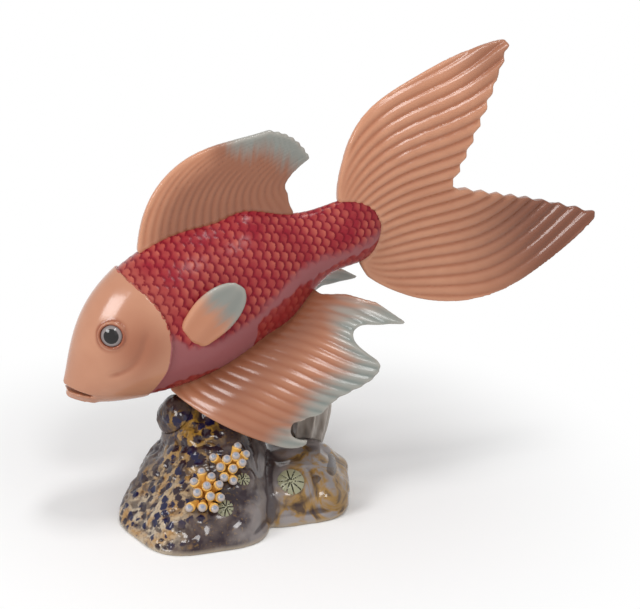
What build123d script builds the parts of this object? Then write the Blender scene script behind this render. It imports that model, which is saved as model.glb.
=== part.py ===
"""A porcelain fish on a rock: an ornament cast in separate pieces that are luted together with slip.

The fish is modelled level, with its snout at zero, its tail towards +X, its left side towards -Y and its back
up. It is then pitched head-down and lifted over the rock. Lengths are in millimetres and angles in degrees.
"""

import os
from math import asin, cos, pi, radians, sin

from build123d import *

# Fish as a whole
BODY_LENGTH = 142.0
BODY_DEPTH = 60.0
BODY_WIDTH = 41.0
BODY_PITCH = 21.0
SNOUT_X = -66.5
SNOUT_Z = 57.0
WALL = 5.0
OVERRUN = 40.0

# Along the body: distance from the snout, back, belly and half width, as shares of length, depth, depth, width
BODY_STATION_SHARES = [
    (0.000, 0.013, -0.097, 0.083),
    (0.039, 0.142, -0.175, 0.220),
    (0.099, 0.325, -0.242, 0.341),
    (0.190, 0.492, -0.308, 0.444),
    (0.317, 0.597, -0.367, 0.498),
    (0.437, 0.625, -0.383, 0.500),
    (0.577, 0.575, -0.342, 0.439),
    (0.718, 0.467, -0.225, 0.305),
    (0.817, 0.355, -0.122, 0.210),
    (0.887, 0.333, -0.138, 0.185),
    (0.944, 0.308, -0.125, 0.146),
    (0.979, 0.258, -0.058, 0.102),
    (1.000, 0.167, 0.025, 0.049),
]
BACK_TAPER_SHARE = 0.12
BODY_POINTS = 12
CAVITY_STATIONS = range(2, 8)

# Gill cover: the curved rear edge of the head, as shares of body length and depth
GILL_EDGE_SHARES = [(0.255, 0.75), (0.268, 0.56), (0.300, 0.42), (0.319, 0.24), (0.309, 0.07), (0.270, -0.10),
                    (0.205, -0.24), (0.150, -0.48)]
GILL_SHARE = 0.319
GILL_PROUD = 1.0

# Mouth
MOUTH_LENGTH = 18.5
MOUTH_DROP = 35.0
MOUTH_GAPE = 2.0
MOUTH_Z = -0.9
LIP_LENGTH = 14.0
LIP_SPAN = 15.6
LIP_RADIUS = 1.7
LOWER_LIP_SPAN_SHARE = 0.72
LOWER_LIP_SETBACK = 1.0

# Eyes
EYE_RADIUS = 4.3
EYE_DOME = 1.6
EYE_SEAT_DEPTH = 3.0
EYE_FIT = 0.1
EYELID_RADIUS = 0.9
EYE_PLACE_SHARES = (0.170, 0.372, 0.267)
EYE_TURN = 20.0
EYE_LIFT = 16.0

# All fins: how bluntly a section closes at its front and rear edges
RIM_ROUNDING = 0.35

# Dorsal fin: sections run from the front edge to the rear edge, from the root out to the tip
DORSAL_LENGTH = 77.0
DORSAL_HEIGHT = 36.0
DORSAL_X = 47.6
DORSAL_Z = 27.0
DORSAL_ROOT_THICKNESS = 6.0
DORSAL_TIP_THICKNESS = 2.4
DORSAL_RAYS = 20
DORSAL_RIPPLE = 0.3
DORSAL_SECTION_SHARES = [
    ((0.00, -0.15), (0.86, -0.50)),
    ((-0.02, 0.45), (0.84, 0.08)),
    ((0.13, 0.80), (0.83, 0.20)),
    ((0.42, 1.06), (0.90, 0.32)),
    ((0.90, 1.02), (1.05, 0.36)),
]
DORSAL_FRONT_SHARES = [(0.00, 0.278), (0.074, 0.539), (0.166, 0.753), (0.281, 0.906), (0.466, 1.0), (0.653, 0.962),
                       (0.844, 0.892)]
DORSAL_REAR_SHARES = [(1.0, 0.383), (0.884, 0.272), (0.823, 0.094), (0.818, -0.06)]
DORSAL_ROOT_SHARES = [(0.818, -0.35), (0.0, -0.05)]
DORSAL_SCALLOPS = 7
DORSAL_SCALLOP_DEPTH = 0.8
DORSAL_TIP_BULGE = 3.0

# Tail fin: sections run from the upper edge to the lower edge, from the root out
TAIL_LENGTH = 103.5
TAIL_SPAN = 104.0
TAIL_X = 128.0
TAIL_Z = 6.0
TAIL_ROOT_THICKNESS = 5.4
TAIL_TIP_THICKNESS = 2.8
TAIL_RAYS = 22
TAIL_RIPPLE = 0.65
TAIL_RIPPLE_SHARES = [0.0, 0.25, 0.75, 1.0, 1.0, 1.0]
TAIL_CURL = 9.0
TAIL_SECTION_SHARES = [
    ((0.00, 0.12), (0.00, -0.12)),
    ((0.04, 0.25), (0.03, -0.27)),
    ((0.18, 0.41), (0.16, -0.41)),
    ((0.43, 0.485), (0.37, -0.535)),
    ((0.70, 0.51), (0.68, -0.57)),
    ((0.90, 0.51), (1.06, -0.47)),
]
TAIL_UPPER_SHARES = [(0.00, 0.10), (0.014, 0.148), (0.087, 0.275), (0.210, 0.394), (0.445, 0.452), (0.734, 0.463),
                     (0.840, 0.452)]
TAIL_UPPER_TIP_SHARES = (0.848, 0.425)
TAIL_FORK_SHARES = (0.457, -0.019)
TAIL_LOWER_TIP_SHARES = (1.0, -0.410)
TAIL_LOWER_SHARES = [(0.992, -0.435), (0.872, -0.478), (0.718, -0.518), (0.546, -0.539), (0.371, -0.508),
                     (0.179, -0.404), (0.048, -0.269), (-0.013, -0.156), (-0.02, -0.10)]
TAIL_SCALLOPS = 9
TAIL_SCALLOP_DEPTH = 1.1

# Pelvic fins, a mirrored pair: sections run from the leading edge to the rear edge, from the belly out.
# Places are along the body, outwards and upwards, as shares of the fin's length, reach and depth.
PELVIC_LENGTH = 95.0
PELVIC_REACH = 38.0
PELVIC_DEPTH = 44.0
PELVIC_X = 36.5
PELVIC_Z = -9.0
PELVIC_ROOT_THICKNESS = 5.0
PELVIC_TIP_THICKNESS = 2.4
PELVIC_RAYS = 18
PELVIC_RIPPLE = 0.38
PELVIC_BOW = 3.0
PELVIC_SECTION_SHARES = [
    ((0.02, 0.08, -0.08), (0.72, 0.06, 0.14)),
    ((0.00, 0.26, -0.33), (0.77, 0.26, -0.02)),
    ((0.05, 0.50, -0.46), (0.86, 0.42, -0.08)),
    ((0.17, 0.78, -0.72), (0.96, 0.60, -0.22)),
    ((0.35, 0.97, -1.03), (1.05, 0.76, -0.41)),
    ((0.52, 1.06, -1.18), (1.11, 0.86, -0.56)),
]
PELVIC_FRONT_SHARES = [(0.0, 0.20), (0.0, -0.26), (0.051, -0.414), (0.142, -0.636), (0.268, -0.886), (0.335, -0.985),
                       (0.400, -1.0)]
PELVIC_NOTCH_SHARES = [(0.412, -0.965), (0.362, -0.860), (0.385, -0.785)]
PELVIC_HEM_SHARES = [(0.516, -0.807), (0.641, -0.734), (0.795, -0.680), (0.818, -0.645)]
PELVIC_FORK_SHARES = [(0.818, -0.600), (0.790, -0.311), (0.815, -0.300)]
PELVIC_TIP_SHARES = [(0.980, -0.435), (0.996, -0.423), (0.927, -0.200), (0.832, -0.061), (0.742, -0.016), (0.70, 0.20)]

# Pectoral fins, a mirrored pair of paddles: a spine from the flank out to the tip
PECTORAL_LENGTH = 38.0
PECTORAL_WIDTH = 18.0
PECTORAL_THICKNESS = 4.4
PECTORAL_ROOT_SHARES = (0.330, 0.410, -0.025)
PECTORAL_SWEEP = 27.0
PECTORAL_RISE = 32.0
PECTORAL_ROLL = 12.0
PECTORAL_STATION_SHARES = [
    (-0.07, 0.22, 0.40),
    (0.00, 0.52, 0.85),
    (0.20, 0.78, 1.00),
    (0.46, 1.00, 0.92),
    (0.70, 0.98, 0.78),
    (0.90, 0.68, 0.58),
    (1.00, 0.24, 0.30),
]
PECTORAL_POINTS = 10

# Rock base: a mound under the breast and a lower lobe to its right, each with lumpy rings
BASE_HEIGHT = 62.0
VENT_RADIUS = 4.0
VENT_X = -14.0
VENT_Y = -8.0
BASE_LENGTH = 98.0
BASE_DEPTH = 84.0
MOUND_STATION_SHARES = [
    (0.00, -0.500, 0.115, -0.620, 0.115),
    (0.10, -0.490, 0.130, -0.610, 0.140),
    (0.30, -0.378, 0.135, -0.490, 0.215),
    (0.48, -0.290, 0.120, -0.350, 0.210),
    (0.66, -0.200, 0.105, -0.200, 0.140),
    (1.00, -0.130, 0.100, -0.060, 0.060),
]
LOBE_STATION_SHARES = [
    (0.00, -0.060, 0.485, -0.480, 0.250),
    (0.10, -0.055, 0.500, -0.485, 0.260),
    (0.24, 0.020, 0.455, -0.430, 0.170),
    (0.34, 0.130, 0.365, -0.310, 0.030),
]
ROCK_LUMP_SHARE = 0.045
ROCK_LUMPS = 5
ROCK_TWIST = 0.5
ROCK_POINTS = 20
MOUND_HOLLOW_STATIONS = slice(1, 4)
LOBE_HOLLOW_STATIONS = slice(1, 3)

# Boulder on the mound's shoulder
BOULDER_WIDTH = 19.0
BOULDER_HEIGHT = 19.0
BOULDER_X = -20.0
BOULDER_Y = -1.0
BOULDER_Z = 37.0
BOULDER_STATION_SHARES = [(-0.49, 0.30), (-0.36, 0.70), (-0.12, 0.98), (0.14, 0.96), (0.36, 0.70), (0.49, 0.28)]
BOULDER_LUMP_SHARE = 0.07
BOULDER_LUMPS = 3

# Ridged spire of rock behind the fins, wider at its shoulder than at its foot
PILLAR_RADIUS = 9.0
PILLAR_RIDGES = 9
PILLAR_RIDGE = 0.8
PILLAR_LEAN = 4.0
PILLAR_X = 34.5
PILLAR_Y = 6.0
PILLAR_TOP = 58.0
PILLAR_STATION_SHARES = [(0.0, 0.0, 0.60), (0.20, 0.0, 0.64), (0.45, 0.1, 1.0), (0.74, 0.4, 0.92), (0.93, 0.3, 0.58),
                         (1.0, 0.2, 0.22)]
PILLAR_TWIST = 14.0

# Coral: two tufts of polyps on the front of the mound, each polyp with a pearl bead in its cup.
# Tuft places are shares of the base's length, depth and height; bead places are shares of the tuft's spread.
BEAD_RADIUS = 1.6
CUP_RADIUS = 1.7
STALK_RADIUS = 1.0
POLYP_HEIGHT = 5.5
POLYP_SINK = 2.0
STALK_ROOT_SHARE = 0.25
BEAD_PERCH_SHARE = 0.45
TUFT_DROOP_SHARE = 0.6
TUFT_TURN = 9.0
TUFT_LIFT = 46.0
UPPER_TUFT_SPREAD = 7.0
LOWER_TUFT_SPREAD = 7.8
UPPER_TUFT_SHARES = (-0.086, -0.378, 0.435)
LOWER_TUFT_SHARES = (-0.203, -0.452, 0.313)
UPPER_BEAD_SHARES = [(0.53, 0.97), (0.92, 0.47), (0.34, 0.26), (-0.15, 0.10), (-0.81, 0.37), (0.66, -0.10),
                     (-0.52, -0.27), (0.14, -0.44), (-0.36, -0.80), (0.12, -0.98)]
LOWER_BEAD_SHARES = [(-0.09, 1.00), (-0.50, 0.45), (0.33, 0.66), (0.66, 0.23), (0.06, 0.14), (-0.42, -0.14),
                     (0.20, -0.37), (0.68, -0.40), (-0.80, -0.72), (-0.22, -0.82), (0.36, -0.88)]

# Shell discs on the rock: places are shares of the base's length, depth and height
DISC_RISE_SHARE = 0.30
DISC_SINK = 4.0
DISC_GROOVES = 10
DISC_GROOVE_WIDTH = 0.5
DISC_GROOVE_DEPTH = 0.5
DISC_TILT = 17.0
DISC_EYE_SHARE = 0.08
LARGE_DISC_RADIUS = 5.5
MIDDLE_DISC_RADIUS = 3.6
SMALL_DISC_RADIUS = 2.9
LARGE_DISC_SHARES = (0.170, -0.386, 0.267)
LARGE_DISC_TURN = 20.0
MIDDLE_DISC_SHARES = (-0.135, -0.519, 0.242)
SMALL_DISC_SHARES = (-0.042, -0.434, 0.366)
DISC_TURN = 0.0
DISC_LIFT = 45.0

FISH = Pos(SNOUT_X, 0, SNOUT_Z) * Rot(0, -BODY_PITCH, 0)


def ring(points):
    """A closed smooth wire through points."""
    return Wire([Edge.make_spline([Vector(*p) for p in points], periodic=True)])


def side_prism(outline):
    """A cutter through the whole width of the fish, with an outline seen from its side."""
    return extrude(Plane.XZ * make_face(outline), BODY_WIDTH + OVERRUN, both=True)


def body_ring(shares, inset, swell):
    """One cross-section of the body, a little narrower towards the back than towards the belly."""
    along, back, belly, half_width = shares
    grown = swell * min(1, along / GILL_SHARE) - inset
    top, bottom = back * BODY_DEPTH + grown, belly * BODY_DEPTH - grown
    half = half_width * BODY_WIDTH + grown
    points = []
    for k in range(BODY_POINTS):
        a = 2 * pi * k / BODY_POINTS
        side = half * sin(a) * (1 - BACK_TAPER_SHARE * cos(a))
        points.append((along * BODY_LENGTH, side, (top + bottom) / 2 + (top - bottom) / 2 * cos(a)))
    return ring(points)


def body_form(stations=BODY_STATION_SHARES, inset=0.0, swell=0.0):
    """The fish's outer form without fins, or the cavity inside it."""
    return Solid.make_loft([body_ring(s, inset, swell) for s in stations])


def cavity_form():
    """The hollow that slip casting leaves in the head and trunk."""
    return body_form([BODY_STATION_SHARES[k] for k in CAVITY_STATIONS], inset=WALL)


def gill_cutter():
    """Everything in front of the gill cover's rear edge."""
    edge = Spline(*[(a * BODY_LENGTH, b * BODY_DEPTH) for a, b in GILL_EDGE_SHARES])
    front = -OVERRUN
    frame = Polyline(edge @ 1, (front, (edge @ 1).Y), (front, (edge @ 0).Y), edge @ 0)
    return side_prism(edge + frame)


def mirrored(shape):
    """The right-hand twin of a left-hand piece."""
    return mirror(shape, about=Plane.XZ)


def dome(radius, rise, depth):
    """A round button on the origin: flat below, straight-sided down to depth, and domed above."""
    sphere = (radius ** 2 + rise ** 2) / (2 * rise)
    half_angle = asin(radius / sphere) / 2
    shoulder = (sphere * sin(half_angle), rise - sphere * (1 - cos(half_angle)))
    side = Polyline((0, rise), (0, -depth), (radius, -depth), (radius, 0))
    profile = make_face(side + ThreePointArc((radius, 0), shoulder, (0, rise)))
    return revolve(Plane.XZ * profile, Axis.Z)


def facing_plane(place, turn, lift):
    """A plane that faces the left side, turned towards the head and lifted upwards."""
    turn, lift = radians(turn), radians(lift)
    facing = (-sin(turn) * cos(lift), -cos(turn) * cos(lift), sin(lift))
    return Plane(place, x_dir=(cos(turn), -sin(turn), 0), z_dir=facing)


def eye_plane():
    """On the left cheek, facing outwards."""
    along, out, up = EYE_PLACE_SHARES
    return facing_plane((along * BODY_LENGTH, -out * BODY_WIDTH, up * BODY_DEPTH), EYE_TURN, EYE_LIFT)


def rock_plane(shares, turn, lift):
    """On the rock, at shares of the base's length, depth and height."""
    along, across, up = shares
    return facing_plane((along * BASE_LENGTH, across * BASE_DEPTH, up * BASE_HEIGHT), turn, lift)


def eye():
    """A domed button with a flat back."""
    return eye_plane() * dome(EYE_RADIUS, EYE_DOME, EYE_SEAT_DEPTH)


def eye_socket():
    """The round seat that the eye is luted into."""
    depth = EYE_SEAT_DEPTH + OVERRUN
    return eye_plane() * Pos(0, 0, OVERRUN - depth) * extrude(Circle(EYE_RADIUS + EYE_FIT), depth)


def eyelid():
    """The raised rim round the eye."""
    return eye_plane() * Torus(EYE_RADIUS + EYE_FIT + EYELID_RADIUS / 2, EYELID_RADIUS)


def mouth_plane():
    """In the slit of the mouth, at the snout, with its x axis running back to the corners."""
    drop = radians(MOUTH_DROP)
    return Plane((0, 0, MOUTH_Z), x_dir=(cos(drop), 0, -sin(drop)), z_dir=(sin(drop), 0, cos(drop)))


def lip(level, span, setback):
    """A roll round the front of the mouth, above or below the slit, whose ends dive into the cheeks."""
    corner, front = LIP_LENGTH - LIP_RADIUS, LIP_RADIUS + setback
    path = Spline((corner, -span / 2, level), (front, 0, level), (corner, span / 2, level))
    start = Plane(path @ 0, z_dir=path % 0)
    return mouth_plane() * sweep(start * Circle(LIP_RADIUS), path)


def lips():
    """The upper lip, and the lower one set back a little under it."""
    level = LIP_RADIUS + MOUTH_GAPE / 2
    return [lip(level, LIP_SPAN, 0), lip(-level, LIP_SPAN * LOWER_LIP_SPAN_SHARE, LOWER_LIP_SETBACK)]


def mouth_slit():
    """A wedge between the lips, closing at the corners of the mouth."""
    half = MOUTH_GAPE / 2
    wedge = Polyline((-OVERRUN, half), (0, half), (MOUTH_LENGTH, 0), (0, -half), (-OVERRUN, -half), close=True)
    return mouth_plane() * extrude(Plane.XZ * make_face(wedge), BODY_WIDTH, both=True)


def head_form():
    """The outside of the head, which stands a little proud of the trunk at the gills."""
    return body_form(swell=GILL_PROUD) & gill_cutter()


def head():
    """The smooth head with its gill covers, lips and eye sockets."""
    solid = head_form() + [*lips(), eyelid(), mirrored(eyelid())]
    return solid - [cavity_form(), mouth_slit(), eye_socket(), mirrored(eye_socket())]


def trunk():
    """The hollow scaled trunk, from the gill covers to the rounded tail root."""
    return body_form() - gill_cutter() - cavity_form()


def fin_ring(front, rear, normal, half_thick, rays, ripple, bow):
    """One fluted cross-section of a fin: a row of ribs from front edge to rear edge, and back on the other face."""
    near, far = [front], [front]
    for k in range(1, 2 * rays):
        share = k / (2 * rays)
        middle = front + (rear - front) * share + normal * bow(share)
        swell = (half_thick + (ripple if k % 2 else -ripple)) * sin(pi * share) ** RIM_ROUNDING
        near.append(middle + normal * swell)
        far.append(middle - normal * swell)
    loop = [*near, rear, *reversed(far)]
    return Wire([Edge.make_spline(loop[k:k + 3]) for k in range(0, 4 * rays, 2)])


def thinning(root, tip, step, steps):
    """Half a fin's thickness at one of its sections, thinning evenly from root to tip."""
    return (root + (tip - root) * step / steps) / 2


def scallops(start, end, count, depth, bulge=0.0):
    """Points along a fin's free edge, dipping by depth between its rays."""
    along = end - start
    out = Vector(-along.Y, along.X) / along.length
    points = []
    for k in range(1, 2 * count):
        share = k / (2 * count)
        points.append(start + along * share + out * (bulge * sin(pi * share) - (depth if k % 2 else 0)))
    return points


def dorsal_fin():
    """The fluted fin along the back, swept to a scalloped tip."""
    def place(shares):
        return Vector(DORSAL_X + shares[0] * DORSAL_LENGTH, DORSAL_Z + shares[1] * DORSAL_HEIGHT)

    steps = len(DORSAL_SECTION_SHARES) - 1
    rings = []
    for step, ends in enumerate(DORSAL_SECTION_SHARES):
        front, rear = [Vector(p.X, 0, p.Y) for p in map(place, ends)]
        half = thinning(DORSAL_ROOT_THICKNESS, DORSAL_TIP_THICKNESS, step, steps)
        ripple = DORSAL_RIPPLE if step else 0
        rings.append(fin_ring(front, rear, Vector(0, -1, 0), half, DORSAL_RAYS, ripple, lambda s: 0))
    front_edge = Spline(*map(place, DORSAL_FRONT_SHARES))
    rear_edge = Spline(*map(place, DORSAL_REAR_SHARES))
    tip = scallops(rear_edge @ 0, front_edge @ 1, DORSAL_SCALLOPS, DORSAL_SCALLOP_DEPTH, -DORSAL_TIP_BULGE)
    tip_edge = Polyline(front_edge @ 1, *reversed(tip), rear_edge @ 0)
    root_edge = Polyline(rear_edge @ 1, *map(place, DORSAL_ROOT_SHARES), front_edge @ 0)
    outline = front_edge + tip_edge + rear_edge + root_edge
    return Solid.make_loft(rings) & side_prism(outline)


def tail_fin():
    """The forked tail, fluted from its root to its scalloped edges."""
    def place(shares):
        return Vector(TAIL_X + shares[0] * TAIL_LENGTH, TAIL_Z + shares[1] * TAIL_SPAN)

    steps = len(TAIL_SECTION_SHARES) - 1
    rings = []
    for step, ends in enumerate(TAIL_SECTION_SHARES):
        front, rear = [Vector(p.X, 0, p.Y) for p in map(place, ends)]
        half = thinning(TAIL_ROOT_THICKNESS, TAIL_TIP_THICKNESS, step, steps)
        curl = TAIL_CURL * (step / steps) ** 2
        ripple = TAIL_RIPPLE * TAIL_RIPPLE_SHARES[step]
        bow = lambda s, curl=curl: curl * sin(2 * pi * s)
        rings.append(fin_ring(front, rear, Vector(0, -1, 0), half, TAIL_RAYS, ripple, bow))
    upper = Spline(*map(place, TAIL_UPPER_SHARES))
    lower = Spline(*map(place, TAIL_LOWER_SHARES))
    upper_tip, fork, lower_tip = map(place, (TAIL_UPPER_TIP_SHARES, TAIL_FORK_SHARES, TAIL_LOWER_TIP_SHARES))
    upper_hem = scallops(upper_tip, fork, TAIL_SCALLOPS, TAIL_SCALLOP_DEPTH)
    lower_hem = scallops(fork, lower_tip, TAIL_SCALLOPS, TAIL_SCALLOP_DEPTH)
    hem = Polyline(upper @ 1, upper_tip, *upper_hem, fork, *lower_hem, lower_tip, lower @ 0)
    outline = upper + hem + lower + Line(lower @ 1, upper @ 0)
    return Solid.make_loft(rings) & side_prism(outline)


def pelvic_fin():
    """The left one of the wide fins that flare from the belly."""
    def place(shares):
        return Vector(PELVIC_X + shares[0] * PELVIC_LENGTH, PELVIC_Z + shares[1] * PELVIC_DEPTH)

    steps = len(PELVIC_SECTION_SHARES) - 1
    rings = []
    ends = [[Vector(PELVIC_X + a * PELVIC_LENGTH, -b * PELVIC_REACH, PELVIC_Z + c * PELVIC_DEPTH)
             for a, b, c in pair] for pair in PELVIC_SECTION_SHARES]
    for step, (front, rear) in enumerate(ends):
        before, after = ends[max(step - 1, 0)], ends[min(step + 1, steps)]
        outwards = (after[0] + after[1]) - (before[0] + before[1])
        normal = outwards.cross(rear - front).normalized()
        half = thinning(PELVIC_ROOT_THICKNESS, PELVIC_TIP_THICKNESS, step, steps)
        ripple = PELVIC_RIPPLE if step else 0
        rise = PELVIC_BOW * step / steps
        bow = lambda s, rise=rise: rise * sin(pi * s)
        rings.append(fin_ring(front, rear, normal, half, PELVIC_RAYS, ripple, bow))
    front_edge = Spline(*map(place, PELVIC_FRONT_SHARES))
    notch = Spline(*map(place, PELVIC_NOTCH_SHARES))
    hem = Spline(*map(place, PELVIC_HEM_SHARES))
    fork = Spline(*map(place, PELVIC_FORK_SHARES))
    tip = Polyline(*map(place, PELVIC_TIP_SHARES))
    curves = [front_edge, notch, hem, fork, tip]
    joins = [Line(a @ 1, b @ 0) for a, b in zip(curves, curves[1:] + curves[:1])]
    outline = Curve() + curves + joins
    return Solid.make_loft(rings) & side_prism(outline)


def pectoral_fin():
    """The left paddle behind the gill cover."""
    along, out, up = PECTORAL_ROOT_SHARES
    root = Vector(along * BODY_LENGTH, -out * BODY_WIDTH, up * BODY_DEPTH)
    rings = []
    for length_share, width_share, thickness_share in PECTORAL_STATION_SHARES:
        half_width = width_share * PECTORAL_WIDTH / 2
        half_thick = thickness_share * PECTORAL_THICKNESS / 2
        points = []
        for k in range(PECTORAL_POINTS):
            a = 2 * pi * k / PECTORAL_POINTS
            points.append((length_share * PECTORAL_LENGTH, half_thick * cos(a), half_width * sin(a)))
        rings.append(ring(points))
    turned = Rot(0, 0, -PECTORAL_SWEEP) * Rot(0, -PECTORAL_RISE, 0) * Rot(PECTORAL_ROLL, 0, 0)
    return Pos(*root) * turned * Solid.make_loft(rings)


def rock_ring(shares, inset):
    """One level of the rock, a lumpy oval between its left, right, front and back shares."""
    level, left, right, front, back = shares
    middle_x, middle_y = (left + right) / 2 * BASE_LENGTH, (front + back) / 2 * BASE_DEPTH
    half_x = (right - left) / 2 * BASE_LENGTH - inset
    half_y = (back - front) / 2 * BASE_DEPTH - inset
    points = []
    for k in range(ROCK_POINTS):
        a = 2 * pi * k / ROCK_POINTS
        lump = 1 + ROCK_LUMP_SHARE * sin(ROCK_LUMPS * a + level / ROCK_TWIST)
        points.append((middle_x + half_x * lump * cos(a), middle_y + half_y * lump * sin(a), level * BASE_HEIGHT))
    return ring(points)


def rock_form(stations, inset=0.0):
    """A lump of rock, or the cavity inside it."""
    return Solid.make_loft([rock_ring(s, inset) for s in stations])


def solid_rock():
    """The outside of the base: the mound and its lobe, flat underneath."""
    return rock_form(MOUND_STATION_SHARES) + rock_form(LOBE_STATION_SHARES)


def rock_base(rock, fish):
    """The hollow base in one casting, with a vent hole underneath and a seat for the belly."""
    hollow = MOUND_STATION_SHARES[MOUND_HOLLOW_STATIONS]
    vent = Pos(VENT_X, VENT_Y, 0) * extrude(Circle(VENT_RADIUS), hollow[0][0] * BASE_HEIGHT, both=True)
    solid = rock - rock_form(hollow, WALL)
    solid -= rock_form(LOBE_STATION_SHARES[LOBE_HOLLOW_STATIONS], WALL)
    return solid - vent - fish


def boulder(rock):
    """A rounded stone on the shoulder of the mound."""
    rings = []
    for rise, width in BOULDER_STATION_SHARES:
        points = []
        for k in range(ROCK_POINTS):
            a = 2 * pi * k / ROCK_POINTS
            r = width * BOULDER_WIDTH / 2 * (1 + BOULDER_LUMP_SHARE * sin(BOULDER_LUMPS * a + rise / ROCK_TWIST))
            points.append((BOULDER_X + r * cos(a), BOULDER_Y + r * sin(a), BOULDER_Z + rise * BOULDER_HEIGHT))
        rings.append(ring(points))
    return Solid.make_loft(rings) - rock


def pillar(rock):
    """A ridged spire that stands in the lobe and ends under the belly."""
    rings = []
    for rise, lean, width in PILLAR_STATION_SHARES:
        points = []
        for k in range(2 * PILLAR_RIDGES):
            a = pi * k / PILLAR_RIDGES + radians(PILLAR_TWIST) * rise
            r = width * (PILLAR_RADIUS + (PILLAR_RIDGE if k % 2 else -PILLAR_RIDGE))
            points.append((PILLAR_X + lean * PILLAR_LEAN + r * cos(a), PILLAR_Y * (1 - rise) + r * sin(a),
                           rise * PILLAR_TOP))
        rings.append(ring(points))
    return Solid.make_loft(rings) - rock


def polyp(tuft, spread, shares):
    """A flared stalk and the bead that sits in its cup."""
    across, up = shares
    rise = POLYP_HEIGHT * (1 - TUFT_DROOP_SHARE * (across ** 2 + up ** 2))
    cup = Vector(across * spread, up * spread, rise)
    root = Vector(cup.X * STALK_ROOT_SHARE, cup.Y * STALK_ROOT_SHARE, -POLYP_SINK)
    axis = Plane(root, z_dir=cup - root)
    length = (cup - root).length
    flare = Spline((STALK_RADIUS, 0), (STALK_RADIUS, length / 2), (CUP_RADIUS, length))
    profile = make_face(flare + Polyline((CUP_RADIUS, length), (0, length), (0, 0), (STALK_RADIUS, 0)))
    bead = tuft * axis * Pos(0, 0, length + BEAD_PERCH_SHARE * BEAD_RADIUS) * Sphere(BEAD_RADIUS)
    return tuft * axis * revolve(Plane.XZ * profile, Axis.Z), bead


def coral(name, rock, tuft_shares, spread, bead_shares):
    """One tuft: a piece for each polyp, luted to the rock and to the polyps before it, and one group of beads."""
    tuft = rock_plane(tuft_shares, TUFT_TURN, TUFT_LIFT)
    polyps = [polyp(tuft, spread, shares) for shares in bead_shares]
    beads = [bead for stalk, bead in polyps]
    pieces = {f"{name}_coral_beads": Compound(beads)}
    for count, (stalk, bead) in enumerate(polyps, start=1):
        earlier = [other for other, _ in polyps[:count - 1]]
        pieces[f"{name}_polyp_{count:02d}"] = stalk - [rock, *earlier, *beads]
    return pieces


def disc(rock, shares, turn, radius):
    """A low domed shell with grooves running out from its middle."""
    plane = rock_plane(shares, turn, DISC_LIFT)
    rise = DISC_RISE_SHARE * radius
    groove_start = DISC_EYE_SHARE * radius
    groove = Box(radius, DISC_GROOVE_WIDTH, rise, align=(Align.MIN, Align.CENTER, Align.MIN))
    tilt = Rot(0, DISC_TILT, 0)
    grooves = [Rot(0, 0, 360 * k / DISC_GROOVES) * Pos(groove_start, 0, rise - DISC_GROOVE_DEPTH) * tilt * groove
               for k in range(DISC_GROOVES)]
    return plane * (dome(radius, rise, DISC_SINK) - grooves) - rock


def main():
    """Builds every piece in its place and writes one file for each."""
    form = body_form()
    fish = FISH * form
    rock = solid_rock()
    left_pelvic = pelvic_fin() - form
    left_pectoral = pectoral_fin() - form - head_form()
    parts = {
        "trunk": FISH * trunk(),
        "head": FISH * head(),
        "left_eye": FISH * eye(),
        "right_eye": FISH * mirrored(eye()),
        "dorsal_fin": FISH * (dorsal_fin() - form),
        "tail_fin": FISH * (tail_fin() - form),
        "left_pelvic_fin": FISH * left_pelvic,
        "right_pelvic_fin": FISH * mirrored(left_pelvic),
        "left_pectoral_fin": FISH * left_pectoral,
        "right_pectoral_fin": FISH * mirrored(left_pectoral),
        "rock_base": rock_base(rock, fish),
        "boulder": boulder(rock),
        "rock_pillar": pillar(rock),
        "large_shell_disc": disc(rock, LARGE_DISC_SHARES, LARGE_DISC_TURN, LARGE_DISC_RADIUS),
        "middle_shell_disc": disc(rock, MIDDLE_DISC_SHARES, DISC_TURN, MIDDLE_DISC_RADIUS),
        "small_shell_disc": disc(rock, SMALL_DISC_SHARES, DISC_TURN, SMALL_DISC_RADIUS),
        **coral("upper", rock, UPPER_TUFT_SHARES, UPPER_TUFT_SPREAD, UPPER_BEAD_SHARES),
        **coral("lower", rock, LOWER_TUFT_SHARES, LOWER_TUFT_SPREAD, LOWER_BEAD_SHARES),
    }
    os.makedirs("parts", exist_ok=True)
    for name, shape in parts.items():
        export_step(shape, f"parts/{name}.step")


main()
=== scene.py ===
"""Glazes a porcelain fish on a rock around its CAD frame, and lights it in a plain studio."""
from math import cos, exp, floor, log, pi, radians, sin, sqrt

import bmesh
import bpy
from bpy.props import FloatProperty, FloatVectorProperty, PointerProperty
from mathutils import Matrix, Vector, noise
from mathutils.bvhtree import BVHTree
from mathutils.geometry import interpolate_bezier


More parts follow.
